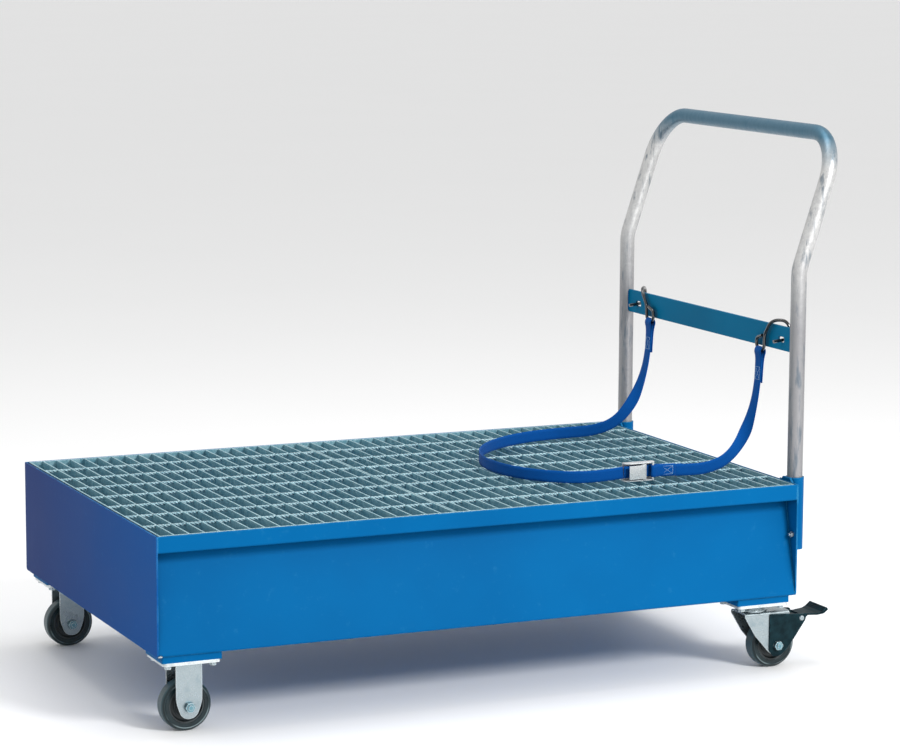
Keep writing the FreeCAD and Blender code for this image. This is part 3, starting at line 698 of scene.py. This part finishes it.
def weld_bead(pile, start, end, radius):
    """A rippled bead laid along a straight joint."""
    along = end - start
    length = along.length
    direction = along.normalized()
    side = direction.orthogonal().normalized()
    other = direction.cross(side)
    ripple = 2.2 * MM
    steps = max(8, int(length / (ripple / 4)))
    rings = []
    for i in range(steps + 1):
        distance = length * i / steps
        wave = abs(math.sin(math.pi * distance / ripple))
        taper = min(1.0, (min(i, steps - i) + 0.5) / 4)
        reach = radius * (0.82 + 0.18 * wave) * taper
        centre = start + direction * distance
        rings.append([centre + (side * math.cos(a) + other * math.sin(a)) * reach
                      for a in (k * math.pi / 4 for k in range(8))])
    pile.add(*loft(rings))


def corner_weld(material):
    """The bright closing weld at the foot of the tray's front left edge."""
    corner = low("end_plate_left")
    pile = Pile()
    start = corner + Vector((1 * MM, 0, 2 * MM))
    weld_bead(pile, start, start + Vector((10 * MM, 0, 0)), 2.2 * MM)
    add_piece("corner_weld", pile.mesh("corner_weld"), material, "tray")


def make_welds(material):
    pile = Pile()
    for name, sign in SIDES.items():
        socket_low = low("handle_socket_" + name)
        socket_high = high("handle_socket_" + name)
        bottom = socket_low.z + 4 * MM
        top = socket_high.z - 4 * MM
        back_plate = (23 * MM, tray_right, 2.2 * MM)
        tube_foot = (10.5 * MM, tray_right + 4 * MM, 1.8 * MM)
        for offset, x, radius in (back_plate, tube_foot):
            for edge in (-1, 1):
                y = sign * leg_y + edge * offset
                weld_bead(pile, Vector((x, y, bottom)), Vector((x, y, top)), radius)
        plate_low = low("strap_plate")
        plate_high = high("strap_plate")
        for x in (plate_low.x, plate_high.x):
            y = sign * (leg_y - 15.6 * MM)
            weld_bead(pile, Vector((x, y, plate_low.z + 2 * MM)), Vector((x, y, plate_high.z - 2 * MM)),
                      2.2 * MM)
    add_piece("weld_beads", pile.mesh("welds"), material, "tray")


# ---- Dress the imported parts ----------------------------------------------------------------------
def special_finish(name):
    """Nodes that look different from the rest of their material slot."""
    if name.startswith(("rigid_plate", "swivel_plate")):
        return "mounting_zinc"
    if name.startswith("buckle"):
        return "buckle_steel"
    if "axle" in name:
        return "axle_zinc"
    # The left end plate takes a darker copy of the blue paint: painted shade.
    if name == "end_plate_left":
        return "shaded_end_paint"
    return None


def dress(materials):
    finish = {entry["node"]: entry["material_slot"] for entry in frame["record"]["subparts"]}
    for name, node in frame["nodes"].items():
        node.data.materials.clear()
        node.data.materials.append(materials[special_finish(name) or finish[name]])


def area_light(name, place, aim, size, power):
    data = bpy.data.lights.new(name, "AREA")
    data.shape = "RECTANGLE"
    data.size, data.size_y = size
    data.energy = power
    light = bpy.data.objects.new(name, data)
    light.location = place
    light.rotation_euler = (Vector(aim) - Vector(place)).to_track_quat("-Z", "Y").to_euler()
    bpy.context.collection.objects.link(light)


FLOOR_HALF = 150.0         # far enough that the floor's edge is never seen


def make_studio(material):
    """A plain pale floor under an even white sky, a soft key light and a softer one overhead."""
    pile = Pile()
    half = FLOOR_HALF
    pile.add([(-half, -half, 0), (half, -half, 0), (half, half, 0), (-half, half, 0)], [(0, 1, 2, 3)])
    floor = bpy.data.objects.new("floor", pile.mesh("floor", False))
    floor.data.materials.append(material)
    bpy.context.collection.objects.link(floor)
    world = bpy.data.worlds.new("studio")
    bpy.context.scene.world = world
    world.use_nodes = True
    background = world.node_tree.nodes["Background"]
    background.inputs["Color"].default_value = (1.0, 1.0, 1.0, 1)
    background.inputs["Strength"].default_value = 0.8
    bpy.context.scene.view_settings.view_transform = "Standard"
    area_light("key", (1.6, -4.6, 3.0), (0, 0, 0.3), (1.2, 1.2), 215)
    area_light("top", (0.0, 0.3, 4.2), (0, 0, 0.3), (3.0, 2.0), 64)


def make_finishes():
    return {
        "blue_paint": paint("blue_paint", deep=(0.000, 0.091, 0.260, 1), bright=(0.000, 0.105, 0.290, 1),
                            dust_and_highlight_tone=(0.07, 0.36, 0.58, 1)),
        # A darker copy of the blue paint for the left end plate, a painted shade; its far tone paints more
        # shade towards the rear.
        "shaded_end_paint": paint("shaded_end_paint", deep=(0.000, 0.070, 0.275, 1), bright=(0.000, 0.078, 0.300, 1),
                           dust_and_highlight_tone=(0.05, 0.26, 0.50, 1), specular=0.012,
                           far_shade_tone=(0.021, 0.046, 0.165, 1)),
        # The strap plate's blue paint made darker and greener, as the plate stands in shade: painted shade.
        "teal_paint": paint("teal_paint", deep=(0.000, 0.125, 0.250, 1), bright=(0.001, 0.150, 0.295, 1),
                            dust_and_highlight_tone=(0.05, 0.24, 0.36, 1)),
        "galvanised_grating": galvanised("galvanised_grating", grain=110.0, light=(0.34, 0.55, 0.60, 1),
                                         dark=(0.15, 0.36, 0.44, 1), streaks=(9, 60, 9), metallic=0.4),
        "galvanised_tube": galvanised("galvanised_tube", grain=160.0, light=(0.62, 0.62, 0.61, 1),
                                      dark=(0.50, 0.50, 0.50, 1), streaks=(110, 110, 5), metallic=0.6,
                                      stains_and_shade=handle_stains_and_shade),
        "zinc": zinc_plate("zinc_plate", dark=(0.25, 0.30, 0.32, 1), light=(0.40, 0.46, 0.48, 1),
                           grime_and_shade_tone=(0.03, 0.09, 0.12, 1)),
        "mounting_zinc": zinc_plate("mounting_zinc", dark=(0.50, 0.54, 0.55, 1),
                                    light=(0.72, 0.76, 0.77, 1), grime_and_shade_tone=(0.03, 0.09, 0.12, 1),
                                    metallic=0.5),
        "axle_zinc": zinc_plate("axle_zinc", dark=(0.05, 0.16, 0.20, 1), light=(0.24, 0.42, 0.48, 1),
                                grime_and_shade_tone=(0.008, 0.045, 0.065, 1)),
        "buckle_steel": zinc_plate("buckle_steel", dark=(0.56, 0.57, 0.58, 1), light=(0.82, 0.82, 0.81, 1),
                                   grime_and_shade_tone=(0.02, 0.02, 0.03, 1), metallic=0.5),
        "black_steel": black_steel(),
        "tyre_rubber": tyre_rubber(),
        "wheel_plastic": wheel_plastic(),
        "coated_wire": coated_wire(),
        "webbing": webbing(),
        "thread": thread(),
    }


make_camera()
finishes = make_finishes()
make_strap(finishes)
dress(finishes)
for panel_name in ("left", "right"):
    twisted_rods(panel_name, finishes["galvanised_grating"])
for side_name in SIDES:
    tread_ribs(side_name, finishes["black_steel"])
make_welds(finishes["blue_paint"])
corner_weld(finishes["zinc"])
make_studio(floor_paint())
